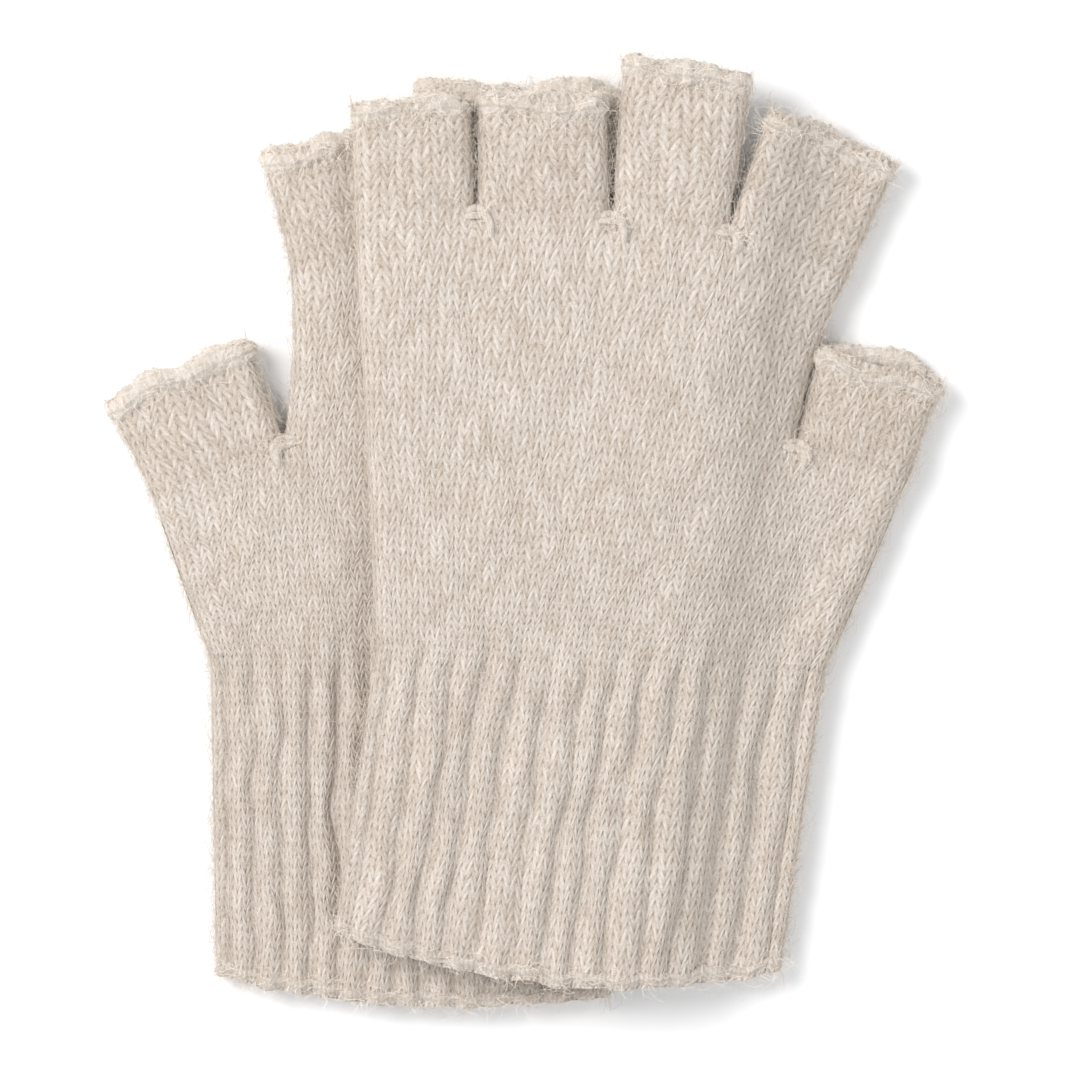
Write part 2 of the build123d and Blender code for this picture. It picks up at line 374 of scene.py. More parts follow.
def edgeDistance(glove, plan):
    # distance in plan to the nearest side line
    starts, ends = glove["sides"]
    best = np.full(plan.shape[:-1], 1.0)
    for a, b in zip(starts, ends):
        run = b - a
        t = np.clip(((plan - a) @ run) / (run @ run), 0, 1)
        best = np.minimum(best, np.linalg.norm(plan - a - t[..., None] * run, axis=-1))
    return best


shape = {
    "crown": 0.22,              # how much fuller the middle is than the edge
    "crownReach": 17.0 * mm,
    "swell": 0.42 * mm,         # soft unevenness of the upper face
    "edge": 4.0 * mm,           # radius of the turned sides
}
# soft hollows of each palm: share across, share along, reach across, reach along, turn in degrees, depth
hollows = {
    "right": [(0.27, 0.44, 24 * mm, 6 * mm, 2, 1.3 * mm), (0.88, 0.21, 6 * mm, 15 * mm, -28, 1.7 * mm),
              (0.58, 0.30, 30 * mm, 9 * mm, 62, 0.5 * mm)],
    "left": [(0.90, 0.30, 7 * mm, 16 * mm, 24, 1.1 * mm)],
}


def hollowDepth(glove, x, y):
    # a sum of soft oval dents, each one e to the minus squared distance
    total = np.zeros(np.broadcast(x, y).shape)
    nf, nt, whole = palmWales["fingers"], palmWales["thumb"], palmCourses["whole"]
    for across, along, wide, tall, turn, depth in hollows[glove["side"]]:
        at = palmPlan(glove, np.array([across * (nf + nt)]), np.array([along * whole]))[0]
        c, s = math.cos(math.radians(turn)), math.sin(math.radians(turn))
        dx, dy = x - at[0], y - at[1]
        total += depth * np.exp(-((dx * c + dy * s) / wide) ** 2 - ((-dx * s + dy * c) / tall) ** 2)
    return total


def section(glove, plan, distance, face):
    # height over the table of the upper (face 1) or lower (face -1) side: a quarter circle at the
    # edge, then flat
    x, y = plan[..., 0], plan[..., 1]
    half = glove["thick"] / 2
    skin = knit["relief"]
    reach = np.clip(distance / shape["edge"], 0, 1)
    cap = np.sqrt(np.maximum(1 - (1 - reach) ** 2, 0))
    full = smooth(distance / shape["crownReach"])
    upper = (half - skin) * (1 - shape["crown"] / 2 + shape["crown"] * full)
    uneven = shape["swell"] * waves(x, y, 11 + glove["sign"], 7, 16 * mm, 46 * mm) - hollowDepth(glove, x, y)
    rise = np.where(face > 0, upper + uneven * full, half - skin)
    return restHeight(glove, x, y) + half + 0.05 * mm + face * np.maximum(rise, 0) * cap


def legPhase(wale, course):
    # a is 0 at a wale's middle and 1 between wales; phase is 0 in the groove between two legs
    a = np.abs(wale - np.floor(wale) - 0.5) * 2
    lift = course - knit["slope"] * a
    return a, lift - np.floor(lift)


def stitchRelief(wale, course):
    # height of the yarn: round across each leg, lower at both ends of the leg, with a hole where legs meet
    a, phase = legPhase(wale, course)
    across = np.sin(math.pi * phase)
    ends = np.clip(1 - np.abs(a - 0.5) * 2, 0, 1) ** 0.8
    hole = np.exp(-(np.minimum(a, 1 - a) / 0.18) ** 2 - ((0.5 - np.abs(phase - 0.5)) / 0.16) ** 2)
    number = np.floor(wale * 2) * 12.9898 + np.floor(course - knit["slope"] * a) * 78.233
    loose = np.sin(number) * 43758.5453
    loose = (loose - np.floor(loose)) - 0.5
    yarn = (0.45 + 0.55 * across) * (0.25 + 0.75 * ends) + 0.40 * loose
    return knit["relief"] * yarn - knit["hole"] * hole


def stray(wale, course, seed):
    # stitches are never in perfect lines: slow waves added to the wale and course numbers
    dw = knit["wander"] * waves(wale, course * 0.7, seed, 12, 2.2, 8.0)
    dc = knit["wander"] * waves(wale, course * 0.7, seed + 1, 12, 2.2, 8.0)
    return dw, dc


def chevronGrid(firstWale, lastWale, firstCourse, lastCourse, columns=None, rows=None):
    # wale and course numbers of a grid whose rows follow the legs of the V, cut off at both ends
    columns = columns or knit["columns"]
    rows = rows or knit["rows"]
    wale = np.arange(int(round((lastWale - firstWale) * columns)) + 1) / columns + firstWale
    a = np.abs(wale - np.floor(wale) - 0.5) * 2
    start = math.floor((firstCourse - knit["slope"]) * rows)
    stop = math.ceil(lastCourse * rows) + 1
    course = (np.arange(start, stop) / rows)[:, None] + knit["slope"] * a[None, :]
    course = np.clip(course, firstCourse, lastCourse)
    return np.broadcast_to(wale[None, :], course.shape).copy(), course


# the knitted fabric, one closed skin for each piece: outer face, inner face, and rims at both ends

def spread(glove, wale, course):
    # slow waves added to the wale and course numbers; none at the sides, the feet and the wrist
    nf, nt = palmWales["fingers"], palmWales["thumb"]
    calm = smooth(np.min([np.abs(wale - s) for s in (0, nf, nf + nt)], axis=0) / 2.5)
    ends = (0, palmCourses["crotch"], palmCourses["whole"])
    calm = calm * smooth(np.min([np.abs(course - s) for s in ends], axis=0) / 3)
    dw, dc = stray(wale, course, 31 + glove["sign"])
    dw = dw + 0.30 * waves(wale, course * 0.7, 37 + glove["sign"], 7, 9.0, 26.0) * smooth(-course / 10)
    return wale + dw * calm, course + dc * calm


def ribDrop(glove, wale, course):
    # how far the surface falls beside each rib: two knit wales form a rounded ridge, the third wale
    # is the groove
    half = rib["repeat"] / 2
    off = np.abs(np.mod(wale - 1 + half, rib["repeat"]) - half)
    knitWidth = (1 - rib["groove"]) / 2
    q = np.where(off < 1, off * knitWidth, knitWidth + (off - 1) * rib["groove"])
    q = q / (knitWidth + rib["groove"] / 2)
    bend = smooth(q * 0.96) * 0.55 + 0.45 * q ** 3
    fade = 0.30 * smooth((7 - course) / 7) + 0.70 * smooth((1.5 - course) / 5)
    lively = 1 + 0.25 * waves(wale, course * 0.4, 71 + glove["sign"], 5, 4.0, 14.0)
    return rib["depth"] * bend * fade * lively


def ribShare(wale, course):
    # wale to share of the cuff's width: even at the wrist, narrow grooves further down
    count = palmWales["fingers"] + palmWales["thumb"]
    knitWidth = (1 - rib["groove"]) / 2

    def place(w):               # in repeats: two wales of knit width, then one of groove width
        whole = np.floor(w / rib["repeat"])
        rest = w - whole * rib["repeat"]
        return whole + np.minimum(rest, 2) * knitWidth + np.maximum(rest - 2, 0) * rib["groove"]

    even = wale / count
    return even + (place(wale) / place(np.array(float(count))) - even) * smooth(-course / 6)


def stallPlan(glove, finger, wale, course):
    # flat place of a stall's stitch: straight from its foot to its mouth
    stall = glove[finger]
    share = (wale - stall["first"]) / stall["wales"]
    along = (course - stall["start"]) / stall["courses"]
    width = stall["footWidth"] + (stall["mouthWidth"] - stall["footWidth"]) * along
    near = smooth(along * 3)
    low = np.maximum(near, finger == "little")
    high = np.maximum(near, finger in ("index", "thumb"))
    across = (capShare(share, capRadius, width, low, high) - 0.5) * width * glove["sign"]
    ahead = along * stall["length"]
    return stall["foot"] + stall["across"] * across[..., None] + stall["ahead"] * ahead[..., None]


def cuffPlanKnit(glove, wale, course):
    # flat place of a cuff's stitch; courses count down from 0 at the wrist
    along = 1 + course / glove["cuff"]["courses"]
    ends = cuffPlan(glove, np.array([0.0, 1.0]), np.array([0.5, 0.5]))
    width = np.linalg.norm(ends[1] - ends[0])
    return cuffPlan(glove, capShare(ribShare(wale, course), capRadius, width), along)


def countStitches(glove):
    # whole wales and courses for every piece, and the outline of the glove
    glove["shares"] = feetShares(glove)
    glove["waist"] = waistPull(glove)
    nf, nt = palmWales["fingers"], palmWales["thumb"]
    whole, crotch = float(palmCourses["whole"]), float(palmCourses["crotch"])
    firsts = np.round(glove["shares"] * nf)
    for i, finger in enumerate(fingerNames):
        glove[finger].update(first=firsts[i], wales=firsts[i + 1] - firsts[i], start=whole)
    glove["thumb"].update(first=float(nf), wales=float(nt), start=crotch)
    for finger in (*fingerNames, "thumb"):
        glove[finger]["courses"] = float(round(glove[finger]["length"] / knit["course"]))
    cuff = glove["cuff"]
    down = (cuff["hemLeft"] + cuff["hemRight"] - cuff["wristLeft"] - cuff["wristRight"]) / 2
    cuff["courses"] = float(round(np.linalg.norm(down) / knit["course"]))
    glove["sides"] = sideLines(glove)


for glove in gloves.values():
    countStitches(glove)


def outward(glove, plan):
    # unit direction from each place to its nearest side line
    starts, ends = glove["sides"]
    best = np.full(plan.shape[:-1], 1.0)
    way = np.zeros(plan.shape)
    for a, b in zip(starts, ends):
        run = b - a
        t = np.clip(((plan - a) @ run) / (run @ run), 0, 1)
        gap = a + t[..., None] * run - plan
        size = np.linalg.norm(gap, axis=-1)
        nearer = size < best
        best = np.where(nearer, size, best)
        way = np.where(nearer[..., None], gap / np.maximum(size, 1e-9)[..., None], way)
    return way


def skinAt(glove, planAt, wale, course, span, face, stitched=True):
    # points and normals of one face of the fabric: the plan, raised by the section, moved out along
    # the normal by the stitches; span is the piece's wales and courses, to look inward from its sides
    w, c = spread(glove, wale, course)
    plan = planAt(w, c)
    inner = planAt(np.clip(w, span[0] + 1.1, span[1] - 1.1), np.clip(c, span[2] + 0.5, span[3] - 0.5))
    distance = edgeDistance(glove, plan)
    way = outward(glove, inner)
    reach = np.clip(distance / shape["edge"], 0, 1)
    cap = np.sqrt(np.maximum(1 - (1 - reach) ** 2, 0))
    z = section(glove, plan, distance, face)
    tiny = 0.5 * mm
    x, y = plan[..., 0], plan[..., 1]
    slopeX = (restHeight(glove, x + tiny, y) - restHeight(glove, x - tiny, y)) / (2 * tiny)
    slopeY = (restHeight(glove, x, y + tiny) - restHeight(glove, x, y - tiny)) / (2 * tiny)
    side = way * (1 - reach)[..., None]
    rise = face * cap
    normal = np.stack([side[..., 0] - rise * slopeX, side[..., 1] - rise * slopeY, rise], -1)
    normal /= np.maximum(np.linalg.norm(normal, axis=-1, keepdims=True), 1e-9)
    point = np.concatenate([plan, z[..., None]], -1)
    if stitched:
        lift = stitchRelief(wale, course) - ribDrop(glove, wale, course) * (0.3 + 0.7 * cap)
        point = point + normal * lift[..., None]
    return point, normal


fuzz = {
    "longest": 4.2 * mm,
    "radius": 0.05 * mm,
    "rings": 5,
    "floor": 0.15 * mm,         # no fibre comes nearer to the table
    "palm": 2200, "cuff": 2200, "stall": 1000, "edge": 850, "hem": 1300, "strands": 520,     # fibres
}


def fibres(points, normals, uv, count, seed):
    # loose ends of wool: thin three-sided tubes that leave the surface and curl, half of them on the
    # upper face and half at the sides
    rng = np.random.default_rng(seed)
    face = np.flatnonzero(normals[:, 2] > 0.75)
    side = np.flatnonzero((normals[:, 2] <= 0.75) & (normals[:, 2] > -0.25))
    onFace = face[rng.integers(0, len(face), count // 2)]
    onSide = side[rng.integers(0, len(side), count - count // 2)]
    pick = np.concatenate([onFace, onSide])
    root, up = points[pick], normals[pick]
    aside = np.cross(up, rng.normal(size=(count, 3)))
    aside /= np.linalg.norm(aside, axis=1, keepdims=True)
    third = np.cross(up, aside)
    length = fuzz["longest"] * rng.uniform(0.25, 1.0, (count, 1, 1)) ** 1.3
    rings = fuzz["rings"]
    s = np.linspace(0, 1, rings)[None, :, None]
    lean = rng.uniform(0.2, 1.0, (count, 1, 1))
    curl = rng.uniform(-4.0, 4.0, (count, 1, 1))
    rise = (1 - 0.55 * s * lean) * s * rng.uniform(0.25, 0.95, (count, 1, 1))
    bow = aside[:, None] * np.sin(s * curl) * 0.8 * lean
    hook = third[:, None] * (1 - np.cos(s * curl)) * 0.7
    path = root[:, None] - up[:, None] * 0.1 * mm + length * (up[:, None] * rise + bow + hook)
    path[..., 2] = np.maximum(path[..., 2], fuzz["floor"] + 0.05 * mm * s[..., 0])
    width = fuzz["radius"] * (1 - 0.55 * s) * rng.uniform(0.7, 1.2, (count, 1, 1))
    angle = (np.arange(3) * 2 * math.pi / 3)[None, None, :, None]
    ring = np.cos(angle) * aside[:, None, None] + np.sin(angle) * up[:, None, None]
    tube = path[:, :, None] + ring * width[..., None]
    one = gridFaces(rings, 3, closed=True)
    quads = (one[None] + (np.arange(count) * rings * 3)[:, None, None]).reshape(-1, 4)
    start = np.arange(count)[:, None] * rings * 3
    last = start + (rings - 1) * 3
    caps = np.concatenate([start + np.array([[2, 1, 0]]), last + np.array([[0, 1, 2]])])
    return tube.reshape(-1, 3), quads, caps, np.repeat(uv[pick], rings * 3, axis=0)


def fabricPatch(glove, planAt, span, face, liningCourses):
    # one face of a tube of fabric: outer rows up, inner rows back down, closed to the first row
    columns = knit["columns"] if face > 0 else knit["columns"] // 3
    wale, course = chevronGrid(span[0], span[1], span[2], span[3], columns)
    outer, normal = skinAt(glove, planAt, wale, course, span, face)
    inCourse = np.array(liningCourses, float)[:, None] + np.zeros(wale.shape[1])
    inWale = np.broadcast_to(wale[0], inCourse.shape)
    skin, inNormal = skinAt(glove, planAt, inWale, inCourse, span, face, stitched=False)
    inner = skin - inNormal * knit["wall"]
    points = np.concatenate([outer, inner])
    uv = np.stack([np.concatenate([wale, inWale]), np.concatenate([course, inCourse])], -1)
    rows, across = points.shape[:2]
    faces = gridFaces(rows, across)
    squeezed = np.ptp(uv[..., 1].ravel()[faces], axis=1) < 1e-9
    faces = faces[~(squeezed & (faces.max(1) < outer.shape[0] * across))]
    last, c = (rows - 1) * across, np.arange(across - 1)
    faces = np.concatenate([faces, np.stack([last + c, last + c + 1, c + 1, c], -1)])
    if face * glove["sign"] < 0:
        faces = faces[:, ::-1]
    return points.reshape(-1, 3), uv.reshape(-1, 2), faces, outer.reshape(-1, 3), normal.reshape(-1, 3)


def fabricPiece(glove, name, patches, materials, count, seed):
    # every patch has a front and a back; their shared sides are welded, then the fuzz is put on
    parts = []
    offset = 0
    for planAt, span, lining in patches:
        for face in (1, -1):
            points, uv, faces, root, up = fabricPatch(glove, planAt, span, face, lining)
            parts.append((points, uv, faces + offset, root, up, uv[:len(root)]))
            offset += len(points)
    points, uv, faces, roots, ups, rootUv = (np.concatenate(part) for part in zip(*parts))
    thing = meshObject(name, points, uv, faces, materials=materials, weld=True)
    addFuzz(thing, roots, ups, rootUv, materials, count, seed)
    return thing


def addFuzz(thing, roots, ups, rootUv, materials, count, seed):
    # fibres in the second material, joined to the piece
    tube, quads, caps, uv = fibres(roots, ups, rootUv, count, seed)
    slots = np.ones(len(quads) + len(caps))
    extra = meshObject(thing.name + "_fuzz", tube, uv, quads, caps, materials, slots)
    with bpy.context.temp_override(active_object=thing, selected_editable_objects=[thing, extra]):
        bpy.ops.object.join()


def loopTube(points, ups, aheads, radius, seed, bumps):
    # a closed roll of fabric: circles along a ring of points, their radius raised by lumps, by the
    # strands that wind around the roll and by fleece; returns points, uv, faces and normals
    rows = bumps["rows"]
    count = len(points)
    run = np.cumsum(np.linalg.norm(points - np.roll(points, 1, axis=0), axis=1))
    turn = np.arange(rows) * 2 * math.pi / rows
    u = (np.round(run[-1] / bumps["pitch"]) * run / run[-1])[:, None] + np.zeros(rows)
    v = turn[None, :] / (2 * math.pi) * bumps["around"] + np.zeros((count, 1))
    ring = np.exp(2j * math.pi * run / run[-1])[:, None]
    x, y = ring.real, ring.imag
    size = radius[:, None] * (1 + bumps["lumps"] * waves(x * 9 + turn * 0.8, y * 9, seed, 6, 2.0, 7.0))
    winding = u + v + 0.25 * waves(x * 6, y * 6, seed + 8, 5, 1.5, 5.0)
    rope = np.abs(np.sin(math.pi * winding)) ** 0.7
    fleece = waves(x * 12 + np.cos(turn) * 2.2, y * 12 + np.sin(turn) * 2.2, seed + 3, 16, 1.0, 2.6)
    size = size + bumps["height"] * ((rope - 0.6) * 0.8 + 0.42 * fleece)
    out = np.cos(turn)[None, :, None] * ups[:, None] + np.sin(turn)[None, :, None] * aheads[:, None]
    grid = points[:, None] + size[..., None] * out
    r, c = np.meshgrid(np.arange(count), np.arange(rows), indexing="ij")
    rn, cn = (r + 1) % count, (c + 1) % rows
    faces = np.stack([r * rows + c, rn * rows + c, rn * rows + cn, r * rows + cn], -1).reshape(-1, 4)
    uv = np.stack([u, v * bumps["fine"] + 500], -1)
    normal = grid - points[:, None]
    normal /= np.linalg.norm(normal, axis=-1, keepdims=True)
    return grid.reshape(-1, 3), uv.reshape(-1, 2), faces, normal.reshape(-1, 3)


def outwardFaces(thing):
    # turns every closed shell's faces outward
    bm = bmesh.new()
    bm.from_mesh(thing.data)
    bmesh.ops.recalc_face_normals(bm, faces=bm.faces)
    bm.to_mesh(thing.data)
    bm.free()


def ringPath(glove, planAt, span, course, inset, step):
    # a closed ring of points under the skin at one course: the front, then the back
    count = int(round((span[1] - span[0]) * knit["wale"] / step))
    wale = np.linspace(span[0], span[1], count + 1)[None, :]
    places, ups = [], []
    for face in (1, -1):
        point, normal = skinAt(glove, planAt, wale, np.full(wale.shape, float(course)), span, face,
                               stitched=False)
        point = (point - normal * inset)[0][::face]
        normal = normal[0][::face]
        places.append(point[:-1])
        ups.append(normal[:-1])
    return np.concatenate(places), np.concatenate(ups)


def squareTo(ups, ahead):
    # the normals made square to the way ahead
    ups = ups - (ups * ahead).sum(1, keepdims=True) * ahead
    return ups / np.linalg.norm(ups, axis=1, keepdims=True)


roll = {
    "pitch": 2.4 * mm, "around": 3,     # strands along and around
    "fine": 2.3, "rows": 26,            # yarn grain, mesh rows
    "lumps": 0.11,
    "height": 0.60 * mm,        # strands and fleece above the roll
    "radius": 2.6 * mm,
    "proud": 0.75 * mm,         # how far it stands out from the stall
    "step": 0.5 * mm,
    "sag": 0.9 * mm,
}
rollFlare = {"little": 0.2 * mm, "ring": 0.2 * mm, "middle": 0.3 * mm, "index": 0.9 * mm, "thumb": 1.2 * mm}
# how far the front of a mouth hangs back, and how far its back reaches past
mouthGape = {("right", "thumb"): (1.6 * mm, 2.6 * mm), ("right", "ring"): (1.3 * mm, 0.2 * mm),
             ("left", "thumb"): (0.2 * mm, 0.9 * mm), ("right", "index"): (0.8 * mm, 0.5 * mm)}
plainGape = (0.3 * mm, 0.3 * mm)


def rolledEdge(glove, finger, materials, seed):
    # the roll around a stall's mouth: a ring of the stall's skin, flared sideways and sagging
    stall = glove[finger]
    span = (stall["first"], stall["first"] + stall["wales"],
            stall["start"], stall["start"] + stall["courses"])
    planAt = lambda w, c: stallPlan(glove, finger, w, c)
    course = span[3] - roll["radius"] / stall["length"] * stall["courses"]
    path, up = ringPath(glove, planAt, span, course, roll["radius"] - roll["proud"], roll["step"])
    aside = ((path[:, :2] - stall["foot"]) @ stall["across"] / stall["mouthWidth"] * 2)[:, None]
    path[:, :2] += stall["across"] * aside * rollFlare[finger]
    ahead = np.broadcast_to(np.append(stall["ahead"], 0.0), path.shape)
    up = squareTo(up, ahead)
    sag = roll["sag"] * waves(path[:, 0], path[:, 2], seed, 5, 9 * mm, 30 * mm)
    share = ((path[:, :2] - stall["foot"]) @ stall["across"]) / stall["mouthWidth"]
    arch = np.clip(np.cos(math.pi * share), 0, 1)
    front, back = mouthGape.get((glove["side"], finger), plainGape)
    gape = np.where(up[:, 2] < 0, back, -front) * arch * np.abs(up[:, 2])
    path = path + ahead * (np.minimum(sag, 0.5 * mm) - 0.3 * mm + gape)[:, None]
    radius = roll["radius"] * (1 + 0.10 * waves(path[:, 0], path[:, 1], seed + 5, 5, 6 * mm, 16 * mm))
    radius = radius * (0.78 + 0.22 * np.abs(up[:, 2]))
    points, uv, faces, normal = loopTube(path, up, ahead, radius, seed, roll)
    thing = meshObject(f"{glove['side']}_{finger}_rolled_edge_wool", points, uv, faces, materials=materials)
    outwardFaces(thing)
    addFuzz(thing, points, normal, uv, materials, fuzz["edge"], seed)
    return thing


hem = {
    "pitch": 2.1 * mm, "around": 2, "fine": 2.2, "rows": 16,
    "lumps": 0.12,
    "height": 0.30 * mm,
    "radius": 1.5 * mm,
    "inset": 0.95 * mm,
    "step": 0.8 * mm,
}


def cuffHem(glove, materials, seed):
    # the cast-on edge: a ring at the cuff's last course that dips into every groove of the rib
    cuff = glove["cuff"]
    count = float(palmWales["fingers"] + palmWales["thumb"])
    span = (0.0, count, -cuff["courses"], 0.0)
    planAt = lambda w, c: cuffPlanKnit(glove, w, c)
    path, up = ringPath(glove, planAt, span, span[2] + 0.6, hem["inset"], hem["step"])
    half = len(path) // 2
    wale = np.concatenate([np.linspace(0, count, half + 1)[:-1], np.linspace(count, 0, half + 1)[:-1]])
    drop = ribDrop(glove, wale, np.full(wale.shape, -20.0)) * 0.75
    ahead = np.broadcast_to(-np.append(cuff["out"], 0.0), path.shape)
    up = squareTo(up, ahead)
    share = np.where(up[:, 2:3] < -0.5, 0.4, 1.0)
    path = path - up * drop[:, None] * share + ahead * (drop * 0.5)[:, None]
    points, uv, faces, normal = loopTube(path, up, ahead, np.full(len(path), hem["radius"]), seed, hem)
    thing = meshObject(f"{glove['side']}_cuff_hem_wool", points, uv, faces, materials=materials)
    outwardFaces(thing)
    addFuzz(thing, points, normal, uv, materials, fuzz["hem"], seed)
    return thing


strand = {
    "yarns": 2,                 # at each crotch
    "rings": 15, "around": 8,
    "radius": 0.98 * mm,
    "wide": (4.6, 5.8),         # least and most reach sideways, mm
    "drop": (3.0, 4.4),         # least and most fall of the far end, mm
    "start": 2.1 * mm,
    "apart": 0.5 * mm,
    "lift": 0.62 * mm,
    "sink": 1.2 * mm,           # of both ends into the fabric
}


def strandPath(glove, at, ahead, number, s, rng):
    # an arch over a crotch: a quarter sine sideways, a half sine ahead less a cubic fall
    across = np.array([ahead[1], -ahead[0]])
    wide, drop = rng.uniform(*strand["wide"]) * mm, rng.uniform(*strand["drop"]) * mm
    x = (np.sin(s * math.pi / 2) * wide - strand["start"] - strand["apart"] * number) * glove["sign"]
    y = (1.1 * np.sin(math.pi * s) - 0.7 - 1.1 * number + 0.2 * np.sin(s * 9 + number * 2)) * mm
    plan = at + across * x[:, None] + ahead * (y - drop * s ** 3)[:, None]
    z = section(glove, plan, edgeDistance(glove, plan), 1) + strand["lift"]
    z = z - strand["sink"] * np.abs(2 * s - 1) ** 5
    return np.concatenate([plan, z[:, None]], 1)


def strandTube(path, s):
    # circles along a path, narrower at both ends, closed by a point at each end
    rings, around = strand["rings"], strand["around"]
    tangent = np.gradient(path, axis=0)
    tangent /= np.linalg.norm(tangent, axis=1, keepdims=True)
    sideways = np.cross(tangent, [0, 0, 1.0])
    sideways /= np.linalg.norm(sideways, axis=1, keepdims=True)
    upward = np.cross(sideways, tangent)
    turn = np.arange(around) * 2 * math.pi / around
    width = strand["radius"] * np.sin(math.pi * np.clip(s * 0.94 + 0.03, 0, 1)) ** 0.35
    out = np.cos(turn)[None, :, None] * sideways[:, None] + np.sin(turn)[None, :, None] * upward[:, None]
    tube = (path[:, None] + width[:, None, None] * out).reshape(-1, 3)
    c, n = np.arange(around), (np.arange(around) + 1) % around
    first, last = rings * around, (rings - 1) * around
    caps = np.concatenate([np.stack([np.full(around, first), n, c], -1),
                           np.stack([np.full(around, first + 1), last + c, last + n], -1)])
    uv = np.stack(np.meshgrid(s * 4, turn, indexing="ij"), -1).reshape(-1, 2)
    normal = (tube - np.repeat(path, around, axis=0)) / strand["radius"]
    return (np.concatenate([tube, path[:1], path[-1:]]), np.concatenate([uv, [[0, 0], [4, 0]]]),
            gridFaces(rings, around, closed=True), caps, np.concatenate([normal, -tangent[:1], tangent[-1:]]))


def joiningStrands(glove, materials, seed):
    # the yarns drawn over each crotch
    rng = np.random.default_rng(seed)
    order = zip(fingerNames[:-1], fingerNames[1:])
    places = [((footEnds(glove, a)[1] + footEnds(glove, b)[0]) / 2,
               (glove[a]["ahead"] + glove[b]["ahead"]) / 2) for a, b in order]
    places.append((footEnds(glove, "thumb")[0], glove["thumb"]["ahead"]))
    s = np.linspace(0, 1, strand["rings"])
    parts = []
    offset = 0
    for at, ahead in places:
        for number in range(strand["yarns"]):
            path = strandPath(glove, at, ahead / np.linalg.norm(ahead), number, s, rng)
            points, uv, quads, caps, normals = strandTube(path, s)
            parts.append((points, uv + [900 + number, 900], quads + offset, caps + offset, normals))
            offset += len(points)
    points, uv, quads, caps, normals = (np.concatenate(part) for part in zip(*parts))
    thing = meshObject(f"{glove['side']}_joining_strands", points, uv, quads, caps, materials)
    outwardFaces(thing)
    addFuzz(thing, points, normals, uv, materials, fuzz["strands"], seed)
    return thing


# shading

class Socket:
    # a node socket with arithmetic
    def __init__(self, tree, socket):
        self.tree, self.socket = tree, socket

    def put(self, operation, *values, clamp=False):     # one Math node
        node = self.tree.nodes.new("ShaderNodeMath")
        node.operation, node.use_clamp = operation, clamp
        for i, value in enumerate(values):
            if isinstance(value, Socket):
                self.tree.links.new(value.socket, node.inputs[i])
            else:
                node.inputs[i].default_value = value
        return Socket(self.tree, node.outputs[0])

    def __add__(self, other):
        return self.put("ADD", self, other)

    def __radd__(self, other):
        return self.put("ADD", other, self)

    def __sub__(self, other):
        return self.put("SUBTRACT", self, other)

    def __rsub__(self, other):
        return self.put("SUBTRACT", other, self)

    def __mul__(self, other):
        return self.put("MULTIPLY", self, other)

    def __rmul__(self, other):
        return self.put("MULTIPLY", other, self)

    def __truediv__(self, other):
        return self.put("DIVIDE", self, other)

    def __pow__(self, other):
        return self.put("POWER", self, other)

    def floor(self):
        return self.put("FLOOR", self)

    def fract(self):
        return self.put("FRACT", self)

    def sine(self):
        return self.put("SINE", self)

    def size(self):
        return self.put("ABSOLUTE", self)

    def least(self, other):
        return self.put("MINIMUM", self, other)

    def unit(self):
        return self.put("ADD", self, 0.0, clamp=True)


class Shader:
    # one material: its nodes and its surface shader
    def __init__(self, name):
        self.material = bpy.data.materials.new(name)
        self.material.use_nodes = True
        self.tree = self.material.node_tree
        self.main = self.tree.nodes["Principled BSDF"]

    def node(self, kind, settings=None, values=None, output=0):
        node = self.tree.nodes.new(kind)
        for key, value in (settings or {}).items():
            setattr(node, key, value)
        for key, value in (values or {}).items():
            if isinstance(value, Socket):
                self.tree.links.new(value.socket, node.inputs[key])
            else:
                node.inputs[key].default_value = value
        return Socket(self.tree, node.outputs[output])

    def vector(self, x, y, z=0.0):
        return self.node("ShaderNodeCombineXYZ", None, {"X": x, "Y": y, "Z": z})

    def mix(self, share, one, two):     # inputs 6 and 7 are the colours of a mix node
        return self.node("ShaderNodeMix", {"data_type": "RGBA"}, {0: share, 6: one, 7: two}, output=2)

    def noise(self, place, scale, detail=3.0, rough=0.6):
        return self.node("ShaderNodeTexNoise", {"noise_dimensions": "3D"},
                         {"Vector": place, "Scale": scale, "Detail": detail, "Roughness": rough})

    def set(self, key, value):
        if isinstance(value, Socket):
            self.tree.links.new(value.socket, self.main.inputs[key])
        else:
            self.main.inputs[key].default_value = value


wool = {
    # deep and pale are the ends of a ramp that carries random tone and the painted shade and highlight of
    # each leg
    "pale": (0.75, 0.695, 0.642, 1),
    "deep": (0.42, 0.34, 0.268, 1),
    # painted shade: the colour of the shadow in the holes where legs meet
    "hole": (0.30, 0.225, 0.17, 1),
    "fleck": (0.54, 0.43, 0.33, 1),
    # painted light: the colour that a lit copy of the wool is lightened toward
    "light": (0.88, 0.82, 0.75, 1),
}


